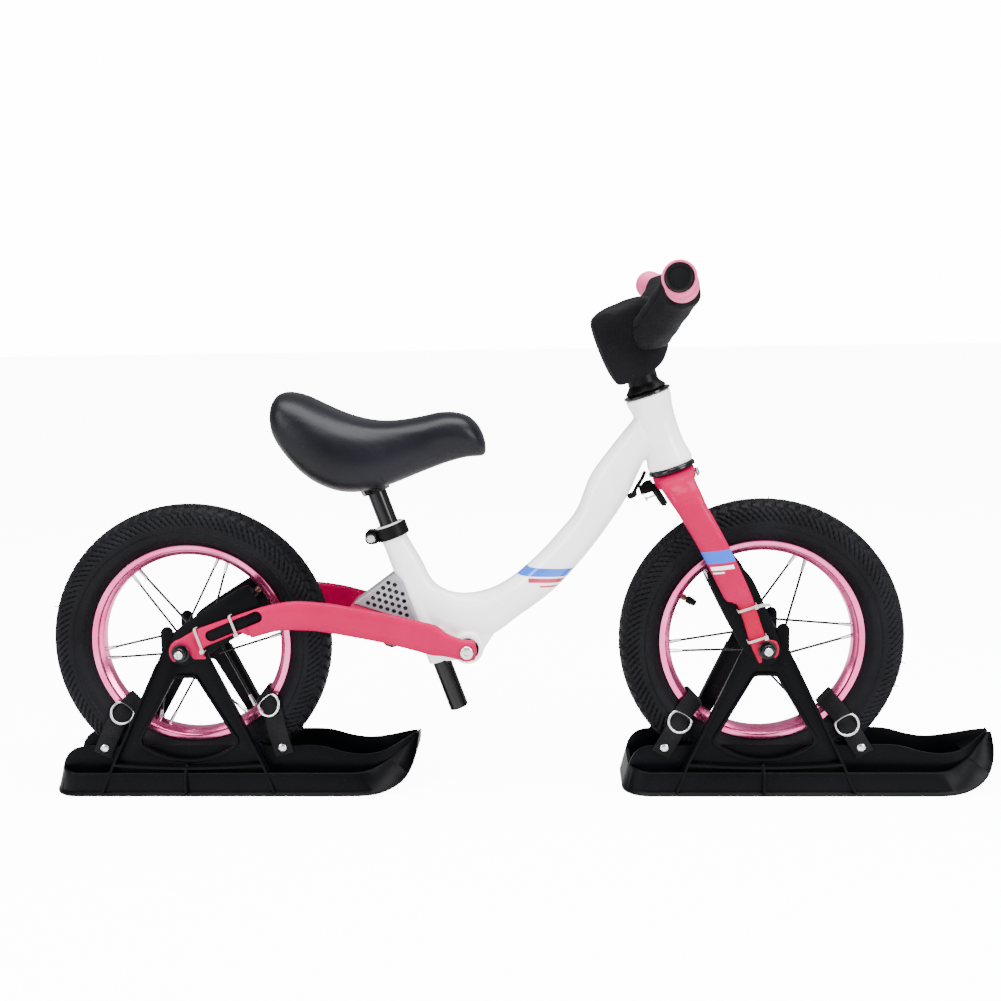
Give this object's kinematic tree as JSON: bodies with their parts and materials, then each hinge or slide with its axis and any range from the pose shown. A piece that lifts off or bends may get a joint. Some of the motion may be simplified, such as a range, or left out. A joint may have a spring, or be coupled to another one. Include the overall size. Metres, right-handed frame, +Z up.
{
  "type": "snow scooter",
  "caption": "Child's balance bike whose wheels stand strapped in skis, with a padded handlebar, a saddle on a sliding post and a sprung swingarm.",
  "frame": {"origin": "on the snow, under the middle of the whole object", "axes": "+X the riding direction, +Y the rider's left, +Z up"},
  "size_m": [1.0016, 0.372, 0.5488],
  "materials": {
    "white_paint": "pearl gloss",
    "pink_paint": "gloss",
    "pink_rim": "anodised satin",
    "black_paint": "satin",
    "black_plastic": "satin",
    "tyre": "matte",
    "tube_rubber": "matte",
    "grip_rubber": "matte",
    "plug_rubber": "matte",
    "damper_rubber": "satin",
    "steel": "plated",
    "saddle_cover": "smooth",
    "pad_cloth": "coated cloth",
    "webbing": "woven",
    "clear_plastic": "translucent"
  },
  "bodies": {
    "frame": {"main_frame": "white_paint", "headset_lower_cup": "black_paint", "headset_upper_cup": "black_paint", "seat_clamp": "black_paint", "seat_clamp_bolt": "steel", "pivot_bolt": "steel", "pivot_bush_right": "black_plastic", "pivot_bush_left": "black_plastic", "damper_block": "damper_rubber"},
    "seat": {"seat_post": "black_paint", "saddle_pad": "saddle_cover"},
    "steering": {"fork": "pink_paint", "crown_bolt": "steel", "stem": "black_paint", "handlebar": "black_paint", "stem_pad": "pad_cloth", "bar_pad_right": "pad_cloth", "bar_pad_left": "pad_cloth", "grip_right": "grip_rubber", "grip_left": "grip_rubber", "bar_end_plug_right": "plug_rubber", "bar_end_plug_left": "plug_rubber", "front_axle": "steel", "front_axle_nut_right": "steel", "front_axle_nut_left": "steel", "front_ski": "black_plastic", "front_lever_plate_right": "black_plastic", "front_lever_plate_left": "black_plastic", "front_strap_fore": "webbing", "front_strap_aft": "webbing", "front_tie_1_right": "clear_plastic", "front_tie_1_left": "clear_plastic", "front_tie_2_right": "clear_plastic", "front_tie_2_left": "clear_plastic"},
    "front_wheel": {"front_tyre": "tyre", "front_inner_tube": "tube_rubber", "front_rim": "pink_rim", "front_hub": "black_paint", "front_hub_bearing_right": "steel", "front_hub_bearing_left": "steel"},
    "rear_arm": {"swingarm": "pink_paint", "damper_bolt": "steel", "rear_axle": "steel", "rear_axle_nut_right": "steel", "rear_axle_nut_left": "steel", "rear_ski": "black_plastic", "rear_lever_plate_right": "black_plastic", "rear_lever_plate_left": "black_plastic", "rear_strap_fore": "webbing", "rear_strap_aft": "webbing", "rear_tie_1_right": "clear_plastic", "rear_tie_1_left": "clear_plastic", "rear_tie_2_right": "clear_plastic", "rear_tie_2_left": "clear_plastic"},
    "rear_wheel": {"rear_tyre": "tyre", "rear_inner_tube": "tube_rubber", "rear_rim": "pink_rim", "rear_hub": "black_paint", "rear_hub_bearing_right": "steel", "rear_hub_bearing_left": "steel"}
  },
  "joints": [
    {"name": "steering", "type": "hinge", "parent": "frame", "child": "steering", "pos_m": [0.1644, 0, 0.3375], "axis": [-0.3117, 0, 0.9502], "range_deg": [-45, 45]},
    {"name": "seat_height", "type": "slide", "parent": "frame", "child": "seat", "axis": [-0.3322, 0, 0.9432], "range_m": [0, 0.08]},
    {"name": "swingarm", "type": "hinge", "parent": "frame", "child": "rear_arm", "pos_m": [-0.0525, 0, 0.1524], "axis": [0, 1, 0], "range_deg": [0, 2.4], "stiffness_Nm_per_rad": 600, "springref_deg": -2.86, "deforming": ["damper_block"]},
    {"name": "front_wheel", "type": "hinge", "parent": "steering", "child": "front_wheel", "pos_m": [0.2578, 0, 0.157], "axis": [0, 1, 0], "range_deg": [-0.8, 11.5]},
    {"name": "rear_wheel", "type": "hinge", "parent": "rear_arm", "child": "rear_wheel", "pos_m": [-0.3508, 0, 0.157], "axis": [0, 1, 0], "range_deg": [-2.5, 12.5]}
  ]
}
